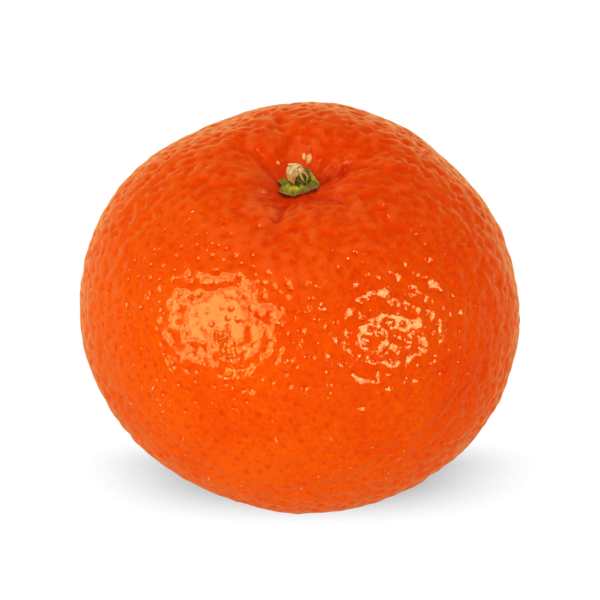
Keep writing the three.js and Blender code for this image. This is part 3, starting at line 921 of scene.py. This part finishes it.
def makeCore():
    # a leaning cone whose radius carries ribs: r = (foot to top) * (1 + depth * cos(ribs * azimuth))
    count, rings = 72, 18
    azimuth = np.linspace(0, 2 * np.pi, count, endpoint=False)
    share = np.linspace(0, 1, rings)[:, None]
    radius = stem["footRadius"] + (stem["topRadius"] - stem["footRadius"]) * share ** 0.7
    radius = radius * (1 + stem["ribDepth"] * np.cos(stem["ribs"] * azimuth + 2 * share))
    x = stem["foot"][0] + stem["lean"][0] * share + radius * np.cos(azimuth)
    y = stem["foot"][1] + stem["lean"][1] * share + radius * np.sin(azimuth)
    z = crownLevel + stem["footHeight"] + (stem["topHeight"] - stem["footHeight"]) * share
    z = z + 0.12 * share * flatWaves(x, y, 0.8, 24, 2)
    return makeObject("stem_green", *closedRings(np.stack([x, y, z], -1)))


def strand(path, width):
    # a flat strip with an oval section along a smooth path: the line, plus cos t by half the width to
    # the side and sin t by half the thickness outwards, the width squeezed towards the far end
    steps, count = 16, 10
    at = np.linspace(0, len(path) - 1, steps)
    line = np.stack([np.interp(at, np.arange(len(path)), path[:, axis]) for axis in range(3)], 1)
    for _ in range(3):
        line[1:-1] = (line[:-2] + 2 * line[1:-1] + line[2:]) / 4
    along = normalised(np.gradient(line, axis=0))
    out = line - (*fibre["capMiddle"], crownLevel + fibre["capLow"])
    side = normalised(np.cross(along, out))
    face = np.cross(side, along)
    turn = np.linspace(0, 2 * np.pi, count, endpoint=False)
    share = np.linspace(0, 1, steps)[:, None, None]
    taper = 1 - fibre["squeeze"] * share - 0.40 * smoothstep(share, 0.8, 1.0)
    across = side[:, None] * (np.cos(turn)[:, None] * width / 2)
    through = face[:, None] * (np.sin(turn)[:, None] * fibre["thickness"] / 2)
    return line[:, None] + across * taper + through


def onCap(azimuth, reach, height):
    # a point round the cap, reach radii out from its middle and height mm over the crown's level
    return (fibre["capMiddle"][0] + fibre["capRadius"][0] * reach * math.cos(azimuth) - 0.1,
            fibre["capMiddle"][1] + fibre["capRadius"][1] * reach * math.sin(azimuth), height)


def makeFibres():
    # the cap is a squashed dome, r = sin(pi h)^0.6, with grooves that run up it; strips lie on it and
    # hang from its edge, each a path with a width and how pale it is
    count, rings = 96, 26
    azimuth = np.linspace(0, 2 * np.pi, count, endpoint=False)
    share = np.linspace(0, 1, rings)[:, None]
    bulge = np.sin(np.pi * (0.16 + 0.78 * share)) ** 0.6
    groove = np.abs(waves(np.stack([np.cos(azimuth), np.sin(azimuth), 0 * azimuth], 1), 0.42, 24, 17))
    radius = bulge * (1 - 0.13 * np.exp(-groove * 3.5)) * (1 + 0.05 * np.sin(3 * azimuth + 5 * share))
    x = fibre["capMiddle"][0] + fibre["capRadius"][0] * radius * np.cos(azimuth) - 0.18 * share
    y = fibre["capMiddle"][1] + fibre["capRadius"][1] * radius * np.sin(azimuth) + 0.10 * share
    z = crownLevel + fibre["capLow"] + (fibre["capHigh"] - fibre["capLow"]) * share
    z = z + 0.10 * flatWaves(x, y, 0.7, 24, 19) * share
    points, faces = closedRings(np.stack([x, y, z], -1))
    cap = np.concatenate([np.broadcast_to(0.35 + 0.65 * share ** 0.6, x.shape).ravel(), [0.2, 0.9]])
    tone = cap * (0.55 + 0.45 * np.concatenate([np.tile(np.clip(groove * 2, 0, 1), rings), [1, 1]]))

    rng = np.random.default_rng(23)
    strips = list(fixedStrips)
    for _ in range(fibre["looseOnes"]):
        turn = rng.uniform(0, 2 * np.pi)
        reach, low = rng.uniform(0.95, 1.08), rng.uniform(0.2, 1.0)
        path = [onCap(turn, 0.35, 3.22), onCap(turn, 0.85, 3.05), onCap(turn, reach, 2.5),
                onCap(turn, reach, 2.3 - 0.5 * low)]
        strips.append((path, rng.uniform(0.14, 0.30), rng.uniform(0.2, 1.0)))
    for path, width, pale in strips:
        path = np.array(path) + (0, 0, crownLevel)
        more, skin = closedRings(strand(path, width))
        faces += [[corner + len(points) for corner in face] for face in skin]
        points = np.concatenate([points, more])
        tone = np.concatenate([tone, np.full(len(more), pale)])
    piece = makeObject("stem_shreds", points, faces)
    giveAttribute(piece, "paleness", tone, "POINT")
    return piece


def fibreMaterial():
    # dark to tan to pale by the strand's paleness + 0.9 * (streaky noise - 0.5)
    material, tree, shader = newMaterial("dryFibre")
    coords = add(tree, "TexCoord").outputs["Object"]
    streak = noise(tree, coords, 0.30, 4.0, 0.65)
    tone = plus(tree, attribute(tree, "paleness"), times(tree, less(tree, streak, 0.5), 0.9), clamp=True)
    colour = tinted(tree, fibre["dark"], fibre, (ramp(tree, tone, 0.0, 0.35), "tan"),
                    (ramp(tree, tone, 0.40, 0.95), "pale"))
    dress(tree, shader, colour, fibre, times(tree, streak, 0.15 * mm))
    return material


def coreMaterial():
    # dark green to green by a patchy noise
    material, tree, shader = newMaterial("stemGreen")
    coords = add(tree, "TexCoord").outputs["Object"]
    patch = noise(tree, coords, 0.5, 3.0, 0.6)
    colour = tinted(tree, stem["darkGreen"], stem, (ramp(tree, patch, 0.38, 0.62), "green"))
    dress(tree, shader, colour, stem, times(tree, patch, 0.15 * mm))
    return material


core = makeCore()
core.data.materials.append(coreMaterial())
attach(core, "root")
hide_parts("stem_core")
shreds = makeFibres()
shreds.data.materials.append(fibreMaterial())
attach(shreds, "root")
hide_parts("stem_fibres")
print("stem:", len(core.data.polygons) + len(shreds.data.polygons), "faces")


# the stage

stage = {
    "floorSize": 6.0,
    "white": 1.06, "shadowTone": 0.14,            # the sweep as the camera sees it, and its darkest shade
    "shadowReach": 0.12, "shadowLean": (-0.07, -0.25, 0.965), "openShare": 0.84, "aoSamples": 16,
    "shadowFront": (-0.0220, -0.0110),            # the painted shadow fades out towards the front between these
    "shadowBack": (-0.0085, -0.0010),             # and towards the back between these
    "bounce": (0.66, 0.63, 0.60),                 # its light on the fruit
    "behind": (0.98, 0.60, 0.22), "inFront": (0.42, 0.105, 0.060),      # and as the wax mirrors it
    "tintFrom": -0.08, "tintTo": 0.06,
    "horizon": (0.76, 0.40, 0.08), "horizonFront": (0.17, 0.05, 0.014),
    "ambient": (0.82, 0.80, 0.78),
    "overhead": (0.03, 0.012, 0.004),
    "clothFrom": (0.64, 0.67), "clothTo": (0.82, 0.85), "rimGlow": 1.1,    # shares of a softbox's radius
}
# soft light for the fruit's own colour, and the two softboxes that the wax mirrors: how bright the
# cloth between a softbox's middle and its rim is, and its outer part
lamps = [
    {"name": "leftFill", "azimuth": 212, "elevation": 32, "distance": 0.5, "size": 0.5, "power": 0.70,
     "colour": (1.0, 0.98, 0.95), "mirrored": False},
    {"name": "frontFill", "azimuth": 280, "elevation": 0, "distance": 0.6, "size": 0.5, "power": 1.50,
     "colour": (1.0, 0.98, 0.95), "mirrored": False},
    {"name": "leftSoftbox", "azimuth": 219.5, "elevation": 38.5, "distance": 0.5, "size": 0.465,
     "power": 4.9, "colour": (1.0, 0.98, 0.80), "mirrored": True, "cloth": 0.06, "outer": 1.0},
    {"name": "rightSoftbox", "azimuth": 321, "elevation": 32, "distance": 0.5, "size": 0.285, "power": 4.1,
     "colour": (1.0, 0.97, 1.12), "mirrored": True, "cloth": 1.1, "outer": 0.38},
]


def lookAlong(direction):
    # the turn that points a lamp's or camera's -Z along a direction, with its +Y kept upward
    return Vector(direction).to_track_quat("-Z", "Y")


def byRay(tree, camera, glossy, other):
    # one of three shaders, for camera rays, for mirrored rays and for all others
    path = add(tree, "LightPath")
    inner = add(tree, "MixShader", path.outputs["Is Glossy Ray"], other, glossy)
    outer = add(tree, "MixShader", path.outputs["Is Camera Ray"], inner.outputs[0], camera)
    return outer.outputs[0]


def makeFloor():
    # a pale sweep that shows near white with the fruit's painted shadow, from an occlusion test faded by
    # place, and lights it evenly from below
    half = stage["floorSize"] / 2 / mm
    corners = np.array([[-half, -half, 0], [half, -half, 0], [half, half, 0], [-half, half, 0]])
    floor = makeObject("floor", corners, [[0, 1, 2, 3]])
    material, tree, shader = newMaterial("paleFloor")
    tree.nodes.remove(shader)
    sky = add(tree, "AmbientOcclusion", samples=stage["aoSamples"])
    sky.inputs["Distance"].default_value = stage["shadowReach"]
    lean = add(tree, "CombineXYZ", *stage["shadowLean"]).outputs[0]
    tree.links.new(lean, sky.inputs["Normal"])
    share = ramp(tree, sky.outputs["AO"], 0.0, stage["openShare"], stage["shadowTone"], stage["white"])
    depth = split(tree, add(tree, "TexCoord").outputs["Object"])[1]
    # the painted shadow is kept only between these depths
    kept = times(tree, ramp(tree, depth, *stage["shadowFront"]),
                ramp(tree, depth, *stage["shadowBack"], 1.0, 0.0))
    shaded = times(tree, kept, less(tree, share, stage["white"]))
    share = plus(tree, stage["white"], shaded)
    seen = add(tree, "Emission", (1, 1, 1, 1), share).outputs[0]
    tint = ramp(tree, depth, stage["tintFrom"], stage["tintTo"])
    tint = mixColour(tree, tint, stage["inFront"], stage["behind"])
    mirrored = add(tree, "Emission", tint, 1.0).outputs[0]
    bounce = add(tree, "Emission", (*stage["bounce"], 1), 1.0).outputs[0]
    surface = byRay(tree, seen, mirrored, bounce)
    tree.links.new(surface, tree.nodes["Material Output"].inputs["Surface"])
    material.cycles.emission_sampling = "NONE"
    floor.data.materials.append(material)


def makeLamp(look):
    # a disc that faces the fruit; the wax mirrors it or the skin takes its light, not both
    data = bpy.data.lights.new(look["name"], "AREA")
    data.shape = "DISK"
    data.size = look["size"]
    data.energy = look["power"]
    data.color = look["colour"]
    if look["mirrored"]:
        # a bright middle and a bright rim with darker cloth between them
        data.use_nodes = True
        tree = data.node_tree
        place = add(tree, "NewGeometry").outputs["Parametric"]
        ring = times(tree, vectorMath(tree, "DISTANCE", place, (0.5, 0.5, 0), output="Value"), 2.0)
        strength = plus(tree, ramp(tree, ring, *stage["clothFrom"], 1.0, look["cloth"]),
                        ramp(tree, ring, *stage["clothTo"], 0.0, stage["rimGlow"] - look["cloth"]))
        strength = times(tree, strength, ramp(tree, ring, 0.0, 0.95, 1.0, look["outer"]))
        tree.links.new(strength, tree.nodes["Emission"].inputs["Strength"])
    lamp = bpy.data.objects.new(look["name"], data)
    out = unit(look["azimuth"], look["elevation"])
    lamp.location = np.array([0, 0, form["centreHeight"] * mm]) + out * look["distance"]
    lamp.rotation_mode = "QUATERNION"
    lamp.rotation_quaternion = lookAlong(-out)
    lamp.visible_camera = False
    lamp.visible_glossy = look["mirrored"]
    lamp.visible_diffuse = not look["mirrored"]
    bpy.context.scene.collection.objects.link(lamp)


def makeWorld():
    # white to the camera, even to the skin; in the wax dark overhead and warm towards the table
    world = bpy.data.worlds.new("studio")
    world.use_nodes = True
    world.cycles.sampling_method = "NONE"
    tree = world.node_tree
    toward = split(tree, add(tree, "TexCoord").outputs["Generated"])
    tint = mixColour(tree, ramp(tree, toward[1], -0.7, 0.4), stage["horizonFront"], stage["horizon"])
    tint = mixColour(tree, ramp(tree, toward[2], 0.10, 0.95), tint, stage["overhead"])
    white = add(tree, "Background", (1, 1, 1, 1), 1.0).outputs[0]
    mirrored = add(tree, "Background", tint, 1.0).outputs[0]
    even = add(tree, "Background", (*stage["ambient"], 1), 1.0).outputs[0]
    tree.links.new(byRay(tree, white, mirrored, even), tree.nodes["World Output"].inputs["Surface"])
    bpy.context.scene.world = world


def makeCamera():
    # focal length = sensor * distance * pixels a mm / frame, so a mm at the aim has the photo's pixels
    data = bpy.data.cameras.new("camera")
    data.sensor_width = photo["sensor"]
    data.lens = photo["sensor"] * photo["distance"] * photo["pixelsPerMm"] / photo["frame"]
    data.clip_start = 0.01
    camera = bpy.data.objects.new("camera", data)
    back = unit(270, photo["elevation"])
    right = np.array([1.0, 0, 0])
    upward = np.cross(back, right)
    half = photo["frame"] / 2
    aim = np.array([0, 0, form["centreHeight"]])
    aim = aim + right * (half - photo["middlePixel"][0]) / photo["pixelsPerMm"]
    aim = aim + upward * (photo["middlePixel"][1] - half) / photo["pixelsPerMm"]
    camera.location = (aim + back * photo["distance"]) * mm
    camera.rotation_mode = "QUATERNION"
    camera.rotation_quaternion = lookAlong(-back)
    bpy.context.scene.collection.objects.link(camera)
    bpy.context.scene.camera = camera


makeFloor()
for lamp in lamps:
    makeLamp(lamp)
makeWorld()
makeCamera()
bpy.context.scene.view_settings.view_transform = "Standard"
print("stage: floor, camera,", len(lamps), "lamps")
